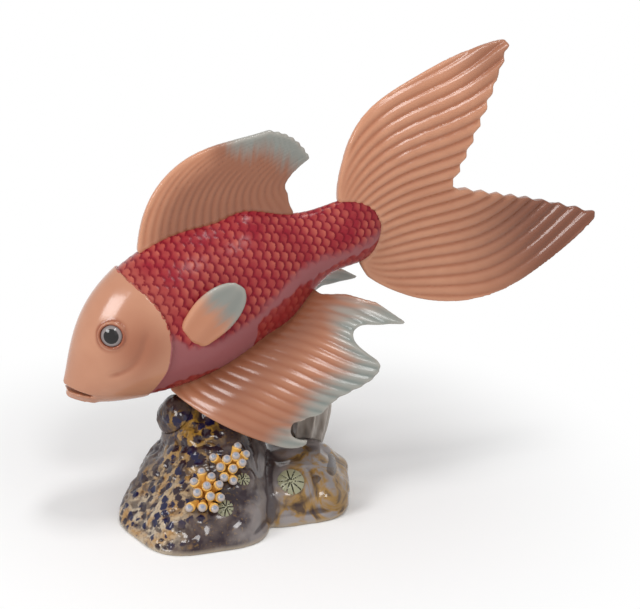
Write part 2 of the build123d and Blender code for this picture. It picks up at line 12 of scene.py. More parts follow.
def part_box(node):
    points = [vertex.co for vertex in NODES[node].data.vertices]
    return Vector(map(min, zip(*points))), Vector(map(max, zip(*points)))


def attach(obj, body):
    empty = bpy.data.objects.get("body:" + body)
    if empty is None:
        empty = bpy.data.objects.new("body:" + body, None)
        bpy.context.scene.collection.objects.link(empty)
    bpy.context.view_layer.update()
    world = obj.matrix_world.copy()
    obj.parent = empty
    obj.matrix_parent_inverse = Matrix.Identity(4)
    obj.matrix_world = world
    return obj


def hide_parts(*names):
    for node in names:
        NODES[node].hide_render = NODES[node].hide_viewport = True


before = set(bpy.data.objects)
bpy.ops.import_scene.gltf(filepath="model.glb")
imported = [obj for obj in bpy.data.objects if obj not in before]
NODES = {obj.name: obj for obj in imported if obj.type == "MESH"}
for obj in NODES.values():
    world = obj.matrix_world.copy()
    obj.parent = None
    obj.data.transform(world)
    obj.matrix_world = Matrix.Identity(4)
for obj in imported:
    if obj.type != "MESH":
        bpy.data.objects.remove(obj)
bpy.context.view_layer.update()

bl_info = {
    "name": "Porcelain Fish",
    "version": (1, 0, 0),
    "blender": (4, 5, 0),
    "location": "View3D > Sidebar > Porcelain Fish",
    "description": "Glazes the pieces of a porcelain fish on a rock and sets up its studio",
    "category": "Object",
}

MM = 0.001
MERGE = 0.00001

# The fish swims head-down: its own axes run from the snout along the body, to its right side, and up its back
SNOUT = Vector((-66.5, 0, 57.0)) * MM
PITCH = 21.0
FISH = Matrix.Translation(SNOUT) @ Matrix.Rotation(radians(-PITCH), 4, "Y")
LEVEL = FISH.inverted()

# Places on the fish, in millimetres along the body and up from the snout's level
GILL_EDGE = [(36.2, 45), (38.1, 33.6), (42.6, 25.2), (45.3, 14.4), (43.9, 4.2), (38.3, -6), (29.1, -14.4),
             (21.3, -28.8)]
BELLY_TOP = [(40, 8), (46, 6), (49, 0), (55, -2.5), (62, -4), (77, -2.3), (88, 1.6), (97, 4.2), (104, 4.9),
             (112, 4.3), (121, 1.7), (130, 0.7)]
BELLY_FOOT = [(35, -14.5), (46, -14.5), (56, -17.5), (66, -19.5), (73, -17.3), (76, -10.6), (78, -6.2),
              (82, -3.8), (96, -1.1), (106, -1.9), (130, -2.4)]
CHEEK_GROOVE = [(37.3, 15.5, 0), (35, 6, 0), (27, -1, 0), (16.5, 1, 0)]
GROOVE_POINTS = 24
GROOVE_WIDTH = 1.9
GROOVE_FRONT = (14, 20)
GROOVE_TOP = (9, 15)
GROOVE_SIDE = (8, 13)
EYE_PLACE = (24.1, 16.0)
EYE_RING = (4.5, 5.7)
LIP_END = (8.5, -10.5)
LIP_REACH = 4.5
CHEEK = (32, 8)
CHEEK_FADE = (2, 17)
CHEEK_SIDE = (8, 14)
DORSAL_FRONT = [(47.6, 37), (53.3, 46.4), (60.4, 54.1), (69.2, 59.6), (83.5, 63)]
DORSAL_HEM = [(104, 61), (112.6, 59.1), (119.5, 49.8), (124.4, 40.8)]
PELVIC_ROOT = [(58, -19), (80, -14), (112, -4)]
PELVIC_HEM = [(131, -27.6), (111.6, -22.7), (113.7, -38), (97.4, -41.3), (85.5, -44.5), (75.6, -52.6),
              (67.7, -52)]
TRUNK_END = 141.95

# How the trunk's skin is laid out: quads along and around it, and how far it tucks in under the gill covers
TRUNK_COLUMNS = 300
TRUNK_AROUND = 280
COLUMN_EASE = 0.25
GILL_MIDDLE = 40.0
TRUNK_TUCK = 4.0
GILL_TUCK = 1.6
TUCK_FADE = (0.8, 1.8)
FAR = 0.2

# Scales: how far each reaches back and to the sides of its middle, in columns and rows, how wide the painted
# shadow line along its rim is, how much its sides drop, and how the scales shrink tailwards
SCALE_REACH = 1.6
SCALE_SPREAD = 0.68
SCALE_LINE = 0.3
SCALE_DROP = 0.3
SCALE_TAPER = 0.0018
TAPER_START = 70.0

# Borders between the trunk's glazes and the painted reflection along the belly, in millimetres, and how much
# of the scales' relief the belly strip loses
BORDER_WAVE = 1.5
BORDER_SPACING = 3.0
UNDERSIDE_FADE = (-0.6, 0.6)
BELLY_FADE = (-2.4, 2.0)
NAPE_RISE = (6, 20)
NAPE_FADE = (1, 12)
BELLY_CALM = 0.85
TRUNK_MARKS = ("crest", "outline", "belly", "underside", "nape")

# Eyes: size of their quads in metres, and which way they look, in degrees
EYE_STEP = 0.00025
EYE_TURN = 20.0
EYE_LIFT = 16.0

# Fins: how far their roots sink into the trunk, slopes of their rays in degrees, and reaches of their sprayed
# glazes and of their painted shade
ROOT_SINK = 1.2
ROOT_GAP = (0.3, 1.0)
DORSAL_RAYS = 60
PELVIC_RAYS = -32
PECTORAL_RAYS = 28
DORSAL_SPRAY = (1, 12)
PELVIC_SPRAY = (3, 13)
PECTORAL_SPRAY = (62, 74)
PECTORAL_SLANT = 0.4
DORSAL_DEEP = (1, 11)
DORSAL_SHARE = 0.7
PELVIC_DEEP = (3, 17)
PELVIC_LEVELS = (-45, -20)
LOWER_LOBE = (160, 208)
LOWER_LEVELS = (-25, 5)
UPPER_LOBE = (186, 206)
UPPER_LEVELS = (30, 50)
UPPER_SHARE = 0.5
HEM_STROKES = 2.5
PECTORAL_STROKES = 3
BROAD_STROKE = (14, 1.8)
FINE_STROKE = (9, 0.8)
FINE_SHARE = 0.6

# Rock: slant and place of the mound's border, spacing of its small pits in millimetres, their depth as a
# share of the large hollows, how rough the hollows are beside the mound and how much rougher on it, how far
# they stay off the foot and off what is luted on, and spacing of the hollows in millimetres on each rock
ROCK_LEAN = 0.8
MOUND_END = (-40, -30)
PIT_SPACING = 2.8
PIT_FADE = (0.05, 0.45)
PIT_SHARE = 0.28
HOLLOW_FADE = (-0.5, 0.6)
OCTAVES = 1.6
MOUND_OCTAVES = 1.4
FOOT_CLEAR = (1, 5)
SEAT_CLEAR = (0, 5 * MM)
HOLLOWS = {"rock_base": (15, 15, 11), "boulder": (6, 6, 6), "rock_pillar": (3, 3, 14)}

# Beads: which way the painted reflection in their hearts faces, where a heart fades out, and how much it is
# flattened
BEAD_FACING = (-0.11, -0.69, 0.72)
HEART_FADE = (0.74, 0.97)
BEAD_DENT = 0.06

# Rounds of smoothing that soften a skin's edges, rounds that level it to find its crests, and crests' heights
SOFT_ROUNDS = {"head": 6, "lip": 24, "eye": 2, "fin": 9, "rock_base": 7, "boulder": 4, "rock_pillar": 3,
               "polyp": 2, "disc": 1}
LEVEL_ROUNDS = {"head": 24, "fin": 20, "rock": 20, "polyp": 20, "disc": 16}
CREST_HEIGHT = 0.3 * MM
DISC_HEIGHT = 0.12 * MM

# Sizes of the patterns in the glazes, in metres
SCALE_CLOUD = 11 * MM
GLAZE_CLOUD = 14 * MM
ROCK_BLOTCH = 7 * MM
ROCK_GRAIN = 1.3 * MM
STAR_SPACING = 3.9 * MM
STAR_BEND = 2.4 * MM
RUN_SPACING = 15 * MM
ROCK_RAGGED = 24 * MM

# Studio, in metres: a paper floor and four softboxes
FLOOR_SIZE = 4.0
FLOOR_NEAR = 0.075
FLOOR_FAR = 0.19
KEY_PLACE = (-0.65, -0.29, 0.45)
KEY_SIZE = (0.32, 0.23)
TOP_PLACE = (0.13, -0.05, 0.92)
TOP_SIZE = (0.26, 0.13)
GLINT_PLACE = (-0.07, -0.70, 0.75)
GLINT_SIZE = (0.20, 0.20)
FILL_PLACE = (0.30, -1.00, 0.70)
FILL_SIZE = (1.2, 1.0)


def linear(code):
    """An sRGB hex code as linear red, green, blue and alpha."""
    parts = [int(code[k:k + 2], 16) / 255 for k in (1, 3, 5)]
    return (*[c / 12.92 if c <= 0.04045 else ((c + 0.055) / 1.055) ** 2.4 for c in parts], 1.0)


def length(name, millimetres, description):
    """A length that the user can change, kept in metres."""
    return FloatProperty(name=name, description=description, default=millimetres * MM, min=0, unit="LENGTH",
                         precision=5)


def power(name, watts, description):
    """A lamp's power that the user can change."""
    return FloatProperty(name=name, description=description, default=watts, min=0, unit="POWER")


def colour(name, code, description):
    """A glaze colour that the user can change."""
    return FloatVectorProperty(name=name, description=description, default=linear(code), size=4, min=0, max=1,
                               subtype="COLOR")


class FishSizes(bpy.types.PropertyGroup):
    """Sizes of the relief that the moulds leave in the porcelain."""
    scale_rows: length("Scale height", 4.4, "Distance between rows of scales on the flank")
    scale_columns: length("Scale exposure", 3.3, "How much of each scale shows behind the one before it")
    scale_relief: length("Scale relief", 0.22, "How far a scale's rear edge stands over the next scale")
    skin_step: length("Skin step", 0.5, "Size of the quads that the head, a fin or a small rock is made of")
    rock_step: length("Rock step", 0.75, "Size of the quads that the rock base is made of")
    coral_step: length("Coral step", 0.22, "Size of the quads that coral and shells are made of")
    fin_relief: length("Fin relief", 0.3, "How far a fin's rays stand over its smoothed form")
    coral_coat: length("Coral coat", 0.35, "Thickness of the glaze that rounds the coral")
    rock_lumps: length("Rock lumps", 2.2, "Depth of the large hollows in the rock")
    groove_depth: length("Cheek groove", 0.7, "Depth of the groove round the cheek")


class GlazeColours(bpy.types.PropertyGroup):
    """Colours of the glazes."""
    # Scale recess: a painted shadow along each scale's rim, under the scale above
    scale_pool: colour("Scale recess", "#6f1220", "Dark crimson glaze pooled along the scales' rims")
    scale_plate: colour("Scale", "#8a1b2a", "Crimson glaze on the scales")
    # Scale crest: a painted salmon highlight on the scales' raised parts
    scale_crest: colour("Scale crest", "#b25a4c", "Salmon glaze, thin on the scales' crests")
    scale_nape: colour("Nape", "#b96f5b", "Salmon glaze on the first rows of scales behind the head")
    # Belly strip: a painted mauve reflection of the floor in the glossy belly
    belly: colour("Belly strip", "#94585a", "Mauve glaze on the smooth strip along the belly")
    underside: colour("Underside", "#8a2d26", "Brick red glaze below the strip")
    head: colour("Head", "#b98468", "Peach glaze on the head")
    # Cheek: partly the cheek's own terracotta, partly painted shade where it turns from the light
    cheek: colour("Cheek", "#9a6046", "Terracotta glaze on the cheek")
    head_shade: colour("Head hollows", "#8f4f36", "Terracotta glaze where it pools round the eye and mouth")
    fin_pool: colour("Fin furrow", "#a76849", "Terracotta glaze pooled between the rays")
    fin_crest: colour("Fin ray", "#c68d6e", "Peach glaze, thin on the rays")
    # Deep spray: painted brown shade on the fins where they turn from the light or lie under the body
    fin_deep: colour("Deep spray", "#7a4833", "Brown glaze sprayed over parts of the fins")
    tip_pool: colour("Fin tip furrow", "#66706c", "Grey-green glaze between the rays at the fins' tips")
    tip_crest: colour("Fin tip ray", "#9a978f", "Pale grey-green glaze on the rays at the fins' tips")
    pupil: colour("Pupil", "#171413", "Black enamel of the pupil")
    iris: colour("Iris", "#877f7e", "Grey enamel of the iris")
    rock_tan: colour("Rock tan", "#a37e50", "Tan glaze in the net between the mound's stars")
    rock_ochre: colour("Rock ochre", "#95702f", "Ochre glaze high on the mound and in runs on the lobe")
    rock_blue: colour("Rock blue", "#0e1038", "Dark blue glaze in stars on the rock's mound")
    rock_brown: colour("Rock brown", "#2a1b22", "Purple-brown glaze in stars, hollows and beside the mound")
    rock_dusk: colour("Rock dusk", "#5a4b45", "Dusky brown glaze between the mound and the lobe")
    rock_grey: colour("Rock grey", "#8c8482", "Lavender-grey glaze on the rock's right side")
    rock_cream: colour("Rock cream", "#b3a48f", "Cream glaze low in the net and along the rock's foot")
    pillar_grey: colour("Pillar grey", "#c4bbb2", "Grey glaze on the pillar's ridges")
    pillar_brown: colour("Pillar brown", "#91877e", "Grey-brown glaze in the pillar's furrows")
    coral: colour("Coral", "#e3b25c", "Yellow glaze on the coral's cups")
    coral_root: colour("Coral root", "#d08f33", "Orange glaze at the coral's roots")
    bead: colour("Bead", "#b4a8a2", "Lilac-grey pearl glaze on the coral's beads")
    # Bead heart: a painted reflection in the middle of each bead
    bead_heart: colour("Bead heart", "#7d8798", "Blue-grey heart of each bead")
    disc: colour("Shell disc", "#98967a", "Pale green glaze on the shell discs")
    disc_groove: colour("Shell groove", "#302f1e", "Dark glaze in the shell discs' grooves")
    floor: colour("Floor", "#f4f4f4", "Paper floor of the studio")


class StudioSettings(bpy.types.PropertyGroup):
    """Camera and lamps."""
    azimuth: FloatProperty(name="Azimuth", description="Camera's turn round the fish",
                           default=radians(-18), subtype="ANGLE")
    elevation: FloatProperty(name="Elevation", description="Camera's height over the floor",
                             default=radians(20), subtype="ANGLE")
    distance: length("Distance", 723.95, "From the camera to the point that it looks at")
    focal: FloatProperty(name="Focal length", description="Lens on a 36 mm wide sensor, in millimetres",
                         default=100)
    target: FloatVectorProperty(name="Target", description="Point that the camera looks at",
                                default=(0.03956, 0, 0.07817), subtype="TRANSLATION", unit="LENGTH")
    key_power: power("Key lamp", 2.8, "Power of the softbox over the head")
    top_power: power("Top lamp", 1.9, "Power of the softbox overhead")
    glint_power: power("Glint lamp", 1.8, "Power of the small softbox over the fins")
    fill_power: power("Fill lamp", 1.3, "Power of the large softbox at the front")
    sky: FloatProperty(name="Sky", description="Strength of the even studio light", default=0.45)


def smoothstep(low, high, value):
    """0 below low, 1 above high, and an S curve between them."""
    t = min(1, max(0, (value - low) / (high - low)))
    return t * t * (3 - 2 * t)


def along_line(points, x):
    """Height of a broken line at x."""
    for (x0, y0), (x1, y1) in zip(points, points[1:]):
        if x <= x1:
            return y0 + (y1 - y0) * max(0, (x - x0) / (x1 - x0))
    return points[-1][1]


def off_line(points, x, y):
    """Distance from a point to a broken line, seen from the side."""
    spot = Vector((x, y))
    best = float("inf")
    for start, end in zip(points, points[1:]):
        start, run = Vector(start[:2]), Vector(end[:2]) - Vector(start[:2])
        share = min(1, max(0, (spot - start).dot(run) / run.length_squared))
        best = min(best, (spot - start - run * share).length)
    return best


def on_fish(point):
    """A point in millimetres along the body, to the right and up the back."""
    return LEVEL @ point / MM


def merged(*nodes):
    """The CAD nodes' surfaces in one mesh, with their loose triangles joined."""
    shape = bmesh.new()
    for name in nodes:
        shape.from_mesh(NODES[name].data)
    bmesh.ops.remove_doubles(shape, verts=shape.verts, dist=MERGE)
    return shape


def even_skin(shape, step, rounds):
    """The same skin in small even quads, with its edges softened as a glaze softens them."""
    mesh = bpy.data.meshes.new("skin")
    shape.to_mesh(mesh)
    shape.free()
    mould, cast = bpy.data.objects.new("mould", mesh), bpy.data.objects.new("cast", mesh)
    for holder in (mould, cast):
        bpy.context.scene.collection.objects.link(holder)
    remesh = cast.modifiers.new("Even quads", "REMESH")
    remesh.mode = "VOXEL"
    remesh.voxel_size = step
    fit = cast.modifiers.new("Against the mould", "SHRINKWRAP")
    fit.target = mould
    soften = cast.modifiers.new("Soft edges", "SMOOTH")
    soften.iterations = rounds
    skin = bmesh.new()
    skin.from_object(cast, bpy.context.evaluated_depsgraph_get())
    for holder in (mould, cast):
        bpy.data.objects.remove(holder)
    bpy.data.meshes.remove(mesh)
    skin.normal_update()
    return skin


def smooth(skin, verts, rounds):
    """Evens out some vertices of a skin."""
    for _ in range(rounds):
        bmesh.ops.smooth_vert(skin, verts=verts, factor=0.5, use_axis_x=True, use_axis_y=True,
                              use_axis_z=True)
    skin.normal_update()


def mark(skin, name, value):
    """Keeps a number from 0 to 1 on each vertex for the glaze to read."""
    layer = skin.verts.layers.float.new(name)
    for vert in skin.verts:
        vert[layer] = min(1, max(0, value(vert)))


def mark_crests(skin, rounds, top):
    """Marks where the skin stands over (1) or dips under (0) its own smoothed form."""
    skin.verts.ensure_lookup_table()
    places = [vert.co.copy() for vert in skin.verts]
    smooth(skin, skin.verts, rounds)
    heights = [(place - vert.co).dot(vert.normal) for place, vert in zip(places, skin.verts)]
    for place, vert in zip(places, skin.verts):
        vert.co = place
    skin.normal_update()
    layer = skin.verts.layers.float.new("crest")
    for height, vert in zip(heights, skin.verts):
        vert[layer] = min(1, max(0, 0.5 + height / (2 * top)))


def push(skin, amount):
    """Moves each vertex along its normal."""
    moves = [(vert, vert.normal * amount(vert)) for vert in skin.verts]
    for vert, move in moves:
        vert.co += move
    skin.normal_update()


def finished(name, skin, material, slot, *nodes):
    """Makes a piece of the object that stands for its CAD nodes."""
    mesh = bpy.data.meshes.new(name)
    skin.to_mesh(mesh)
    skin.free()
    mesh.polygons.foreach_set("use_smooth", [True] * len(mesh.polygons))
    mesh.materials.append(material)
    piece = bpy.data.objects.new(name, mesh)
    bpy.context.scene.collection.objects.link(piece)
    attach(piece, "root")
    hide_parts(*nodes)


def add(tree, kind, inputs=None, **settings):
    """Adds a node with its settings, sets or links its inputs, and returns it.

    A node that is given as an input is linked from its first output. Every mix is one of colours.
    """
    made = tree.nodes.new(kind)
    if kind == "ShaderNodeMix":
        made.data_type = "RGBA"
    for name, value in settings.items():
        setattr(made, name, value)
    for key, value in (inputs or {}).items():
        socket = next(s for s in made.inputs if key in (s.identifier, s.name) and not s.is_unavailable)
        if isinstance(value, bpy.types.Node):
            value = next(s for s in value.outputs if not s.is_unavailable)
        if isinstance(value, bpy.types.NodeSocket):
            tree.links.new(value, socket)
        else:
            socket.default_value = value
    return made


def glaze(name, roughness, shine=0.42):
    """A clear glossy glaze: returns the material, its node tree and a function that colours it."""
    material = bpy.data.materials.new(name)
    material.use_nodes = True
    tree = material.node_tree
    shader = tree.nodes["Principled BSDF"]
    shader.inputs["Roughness"].default_value = roughness
    shader.inputs["Specular IOR Level"].default_value = shine
    return material, tree, lambda node: tree.links.new(node.outputs[2], shader.inputs["Base Color"])


def palette():
    """The glaze colours as plain tuples."""
    group = bpy.context.scene.glaze_colours
    return {key: tuple(getattr(group, key)) for key in GlazeColours.__annotations__}


def scale_glaze():
    """Copper-red glaze on moulded scales, with a painted crimson shadow along the rims and a painted salmon
    highlight on the crests.

    The nape is paler, the smooth strip along the belly is a painted mauve reflection of the floor and the
    underside is brick red.
    """
    c = palette()
    material, tree, paint = glaze("Red scale glaze", 0.22, 0.13)
    place = add(tree, "ShaderNodeTexCoord").outputs["Object"]
    crest, outline, belly, under, nape = [
        add(tree, "ShaderNodeAttribute", attribute_name=name).outputs["Fac"] for name in TRUNK_MARKS]
    cloud = add(tree, "ShaderNodeTexNoise", {"Vector": place, "Scale": 1 / SCALE_CLOUD, "Detail": 3.0})
    # A painted highlight on the scales' crests, broken up at random by the cloud
    thin = add(tree, "ShaderNodeMapRange", {"Value": crest, "From Min": 0.35, "From Max": 0.95})
    patchy = add(tree, "ShaderNodeMapRange", {"Value": cloud, "From Min": 0.36, "From Max": 0.58,
                                            "To Min": 0.1, "To Max": 1.0})
    share = add(tree, "ShaderNodeMath", {"Value": thin, "Value_001": patchy}, operation="MULTIPLY")
    red = add(tree, "ShaderNodeMix", {"Factor_Float": share, "A_Color": c["scale_plate"],
                                      "B_Color": c["scale_crest"]})
    pale = add(tree, "ShaderNodeMath", {"Value": nape, "Value_001": 0.32}, operation="MULTIPLY")
    plates = add(tree, "ShaderNodeMix", {"Factor_Float": pale, "A_Color": red, "B_Color": c["scale_nape"]})
    # Painted shadow along each scale's rim, where the scale above overhangs it
    scales = add(tree, "ShaderNodeMix", {"Factor_Float": outline, "A_Color": plates,
                                         "B_Color": c["scale_pool"]})
    deep = add(tree, "ShaderNodeMath", {"Value": under, "Value_001": 0.6}, operation="MULTIPLY")
    lower = add(tree, "ShaderNodeMix", {"Factor_Float": deep, "A_Color": scales, "B_Color": c["underside"]})
    # Painted reflection of the floor along the belly strip
    paint(add(tree, "ShaderNodeMix", {"Factor_Float": belly, "A_Color": lower, "B_Color": c["belly"]}))
    return material


def pooled_glaze(name, pool, crest, roughness=0.16, low=0.2, high=0.8):
    """A glaze that is darker where it pools and paler where it thins over crests, with a faint cloudiness."""
    material, tree, paint = glaze(name, roughness)
    height = add(tree, "ShaderNodeAttribute", attribute_name="crest").outputs["Fac"]
    share = add(tree, "ShaderNodeMapRange", {"Value": height, "From Min": low, "From Max": high})
    base = add(tree, "ShaderNodeMix", {"Factor_Float": share, "A_Color": pool, "B_Color": crest})
    place = add(tree, "ShaderNodeTexCoord").outputs["Object"]
    cloud = add(tree, "ShaderNodeTexNoise", {"Vector": place, "Scale": 1 / GLAZE_CLOUD, "Detail": 2.0})
    shade = add(tree, "ShaderNodeMapRange", {"Value": cloud, "From Min": 0.3, "From Max": 0.7,
                                             "To Max": 0.22})
    clouded = add(tree, "ShaderNodeMix", {"Factor_Float": shade, "A_Color": base, "B_Color": pool})
    paint(clouded)
    return material, tree, paint, clouded


def head_glaze():
    """Peach glaze sprayed over the smooth head, deeper round the eye and in the hollows, and darker on the
    cheek, partly as painted shade.
    """
    c = palette()
    material, tree, paint, peach = pooled_glaze("Peach head glaze", c["head_shade"], c["head"],
                                                low=0.1, high=0.5)
    ring = add(tree, "ShaderNodeAttribute", attribute_name="eye_ring").outputs["Fac"]
    cheek = add(tree, "ShaderNodeAttribute", attribute_name="cheek").outputs["Fac"]
    cheek_tone_and_shade = add(tree, "ShaderNodeMix", {"Factor_Float": cheek, "A_Color": peach, "B_Color": c["cheek"]})
    paint(add(tree, "ShaderNodeMix", {"Factor_Float": ring, "A_Color": cheek_tone_and_shade, "B_Color": c["head_shade"]}))
    return material


def fin_glaze():
    """Terracotta glaze on the fins, darker in furrows, brown with painted shade in places and grey-green at
    the tips.
    """
    c = palette()
    material, tree, paint, clay = pooled_glaze("Terracotta fin glaze", c["fin_pool"], c["fin_crest"], 0.2)
    # The deep mark darkens parts of the fins with painted shade
    deep = add(tree, "ShaderNodeAttribute", attribute_name="deep").outputs["Fac"]
    peach = add(tree, "ShaderNodeMix", {"Factor_Float": deep, "A_Color": clay, "B_Color": c["fin_deep"]})
    height = add(tree, "ShaderNodeAttribute", attribute_name="crest").outputs["Fac"]
    tip = add(tree, "ShaderNodeAttribute", attribute_name="tip").outputs["Fac"]
    grey = add(tree, "ShaderNodeMix", {"Factor_Float": height, "A_Color": c["tip_pool"],
                                       "B_Color": c["tip_crest"]})
    paint(add(tree, "ShaderNodeMix", {"Factor_Float": tip, "A_Color": peach, "B_Color": grey}))
    return material


def eye_glaze():
    """Glossy enamel: a black pupil in a grey iris."""
    c = palette()
    material, tree, paint = glaze("Eye enamel", 0.08)
    rim = add(tree, "ShaderNodeAttribute", attribute_name="iris").outputs["Fac"]
    pupil = add(tree, "ShaderNodeMapRange", {"Value": rim, "From Min": 0.66, "From Max": 0.71})
    ring = add(tree, "ShaderNodeMix", {"Factor_Float": pupil, "A_Color": c["pupil"], "B_Color": c["iris"]})
    edge = add(tree, "ShaderNodeMapRange", {"Value": rim, "From Min": 0.93, "From Max": 1.0})
    paint(add(tree, "ShaderNodeMix", {"Factor_Float": edge, "A_Color": ring, "B_Color": c["head_shade"]}))
    return material


def rock_glaze():
    """Reactive glazes that ran together, from the mound across a dusky middle to the lobe.

    The mound has blue and brown stars in a net of cream, tan and ochre. The lobe is grey with ochre runs.
    """
    c = palette()
    material, tree, paint = glaze("Mottled rock glaze", 0.09, 0.34)
    place = add(tree, "ShaderNodeTexCoord").outputs["Object"]
    axes = add(tree, "ShaderNodeSeparateXYZ", {"Vector": place})
    crest = add(tree, "ShaderNodeAttribute", attribute_name="crest").outputs["Fac"]
    blotch = add(tree, "ShaderNodeTexNoise", {"Vector": place, "Scale": 1 / ROCK_BLOTCH, "Detail": 4.0})
    grain = add(tree, "ShaderNodeTexNoise", {"Vector": place, "Scale": 1 / ROCK_GRAIN, "Detail": 3.0})
    bend = add(tree, "ShaderNodeVectorMath", {"Vector": grain.outputs["Color"], "Scale": STAR_BEND},
               operation="SCALE")
    bent = add(tree, "ShaderNodeVectorMath", {"Vector": place, "Vector_001": bend}, operation="ADD")
    # Mound: dark stars in a net of cream and tan that gets narrower and more golden higher up
    stars = add(tree, "ShaderNodeTexVoronoi", {"Vector": bent, "Scale": 1 / STAR_SPACING, "Randomness": 0.85})
    cell = add(tree, "ShaderNodeSeparateColor", {"Color": stars.outputs["Color"]})
    height = add(tree, "ShaderNodeMath", {"Value": blotch, "Value_001": ROCK_RAGGED,
                                          "Value_002": axes.outputs["Z"]}, operation="MULTIPLY_ADD")
    high = add(tree, "ShaderNodeMapRange", {"Value": height, "From Min": 20 * MM, "From Max": 48 * MM})
    reach = add(tree, "ShaderNodeMapRange", {"Value": height, "From Min": 14 * MM, "From Max": 50 * MM,
                                             "To Min": 0.42, "To Max": 0.58})
    outside = add(tree, "ShaderNodeMath", {"Value": stars, "Value_001": reach}, operation="SUBTRACT")
    heart = add(tree, "ShaderNodeMapRange", {"Value": outside, "From Min": -0.07, "From Max": 0.05,
                                             "To Min": 1.0, "To Max": 0.0})
    pale = add(tree, "ShaderNodeMapRange", {"Value": blotch, "From Min": 0.36, "From Max": 0.54})
    low_net = add(tree, "ShaderNodeMix", {"Factor_Float": pale, "A_Color": c["rock_tan"],
                                          "B_Color": c["rock_cream"]})
    net = add(tree, "ShaderNodeMix", {"Factor_Float": high, "A_Color": low_net, "B_Color": c["rock_ochre"]})
    brown_cell = add(tree, "ShaderNodeMath", {"Value": cell, "Value_001": 0.55}, operation="GREATER_THAN")
    dark = add(tree, "ShaderNodeMix", {"Factor_Float": brown_cell, "A_Color": c["rock_blue"],
                                       "B_Color": c["rock_brown"]})
    dirt = add(tree, "ShaderNodeMapRange", {"Value": grain, "From Min": 0.5, "From Max": 0.64,
                                            "To Max": 0.45})
    patchy = add(tree, "ShaderNodeMix", {"Factor_Float": dirt, "A_Color": net, "B_Color": c["rock_brown"]})
    mound = add(tree, "ShaderNodeMix", {"Factor_Float": heart, "A_Color": patchy, "B_Color": dark})
    # Middle: purple-brown clouded with dusky brown, under fine ochre specks, and greyer towards the crease
    haze = add(tree, "ShaderNodeMapRange", {"Value": blotch, "From Min": 0.4, "From Max": 0.66})
    dusk = add(tree, "ShaderNodeMix", {"Factor_Float": haze, "A_Color": c["rock_brown"],
                                       "B_Color": c["rock_dusk"]})
    speck = add(tree, "ShaderNodeMapRange", {"Value": grain, "From Min": 0.58, "From Max": 0.68,
                                             "To Max": 0.35})
    middle = add(tree, "ShaderNodeMix", {"Factor_Float": speck, "A_Color": dusk, "B_Color": c["rock_ochre"]})
    # Lobe: grey with runs of ochre that darken to brown in their cores
    stream = add(tree, "ShaderNodeTexNoise", {"Vector": place, "Scale": 1 / RUN_SPACING, "Detail": 3.0,
                                              "Distortion": 1.8})
    run = add(tree, "ShaderNodeMapRange", {"Value": stream, "From Min": 0.46, "From Max": 0.56,
                                           "To Max": 0.9})
    core = add(tree, "ShaderNodeMapRange", {"Value": stream, "From Min": 0.58, "From Max": 0.68,
                                            "To Max": 0.8})
    streaked = add(tree, "ShaderNodeMix", {"Factor_Float": run, "A_Color": c["rock_grey"],
                                           "B_Color": c["rock_ochre"]})
    lobe = add(tree, "ShaderNodeMix", {"Factor_Float": core, "A_Color": streaked, "B_Color": c["rock_brown"]})
    # Across the rock from mound to lobe, along slanting ragged borders. The mound's glaze stays at the front
    lean = add(tree, "ShaderNodeMath", {"Value": axes.outputs["Z"], "Value_001": -ROCK_LEAN,
                                        "Value_002": axes}, operation="MULTIPLY_ADD")
    drift = add(tree, "ShaderNodeMath", {"Value": blotch, "Value_001": ROCK_RAGGED, "Value_002": lean},
                operation="MULTIPLY_ADD")
    past_mound = add(tree, "ShaderNodeMapRange", {"Value": drift, "From Min": -29 * MM, "From Max": -21 * MM})
    past_crease = add(tree, "ShaderNodeMapRange", {"Value": drift, "From Min": 12 * MM, "From Max": 20 * MM})
    depth = add(tree, "ShaderNodeMath", {"Value": blotch, "Value_001": ROCK_RAGGED,
                                         "Value_002": axes.outputs["Y"]}, operation="MULTIPLY_ADD")
    behind = add(tree, "ShaderNodeMapRange", {"Value": depth, "From Min": -2 * MM, "From Max": 6 * MM})
    bared = add(tree, "ShaderNodeMath", {"Value": past_mound, "Value_001": behind}, operation="MAXIMUM")
    near_crease = add(tree, "ShaderNodeMapRange", {"Value": drift, "From Min": -8 * MM, "From Max": 5 * MM,
                                                   "To Max": 0.8})
    paler = add(tree, "ShaderNodeMix", {"Factor_Float": near_crease, "A_Color": middle,
                                        "B_Color": c["rock_grey"]})
    front = add(tree, "ShaderNodeMix", {"Factor_Float": bared, "A_Color": mound, "B_Color": paler})
    rock = add(tree, "ShaderNodeMix", {"Factor_Float": past_crease, "A_Color": front, "B_Color": lobe})
    # Brown pools in the hollows, and a cream line where the glaze thins along the foot
    pool = add(tree, "ShaderNodeMapRange", {"Value": crest, "From Min": 0.2, "From Max": 0.5, "To Min": 0.7,
                                            "To Max": 0.0})
    pooled = add(tree, "ShaderNodeMix", {"Factor_Float": pool, "A_Color": rock, "B_Color": c["rock_brown"]})
    foot = add(tree, "ShaderNodeMapRange", {"Value": axes.outputs["Z"], "From Min": 0.4 * MM,
                                            "From Max": 2.4 * MM, "To Min": 0.8, "To Max": 0.0})
    paint(add(tree, "ShaderNodeMix", {"Factor_Float": foot, "A_Color": pooled, "B_Color": c["rock_cream"]}))
    return material


def pearl_glaze():
    """Lustrous pearl glaze with a blue-grey heart that is a painted reflection."""
    c = palette()
    material, tree, paint = glaze("Pearl bead glaze", 0.1)
    # The heart mark places a painted reflection on each bead
    heart = add(tree, "ShaderNodeAttribute", attribute_name="heart").outputs["Fac"]
    paint(add(tree, "ShaderNodeMix", {"Factor_Float": heart, "A_Color": c["bead"],
                                      "B_Color": c["bead_heart"]}))
    return material


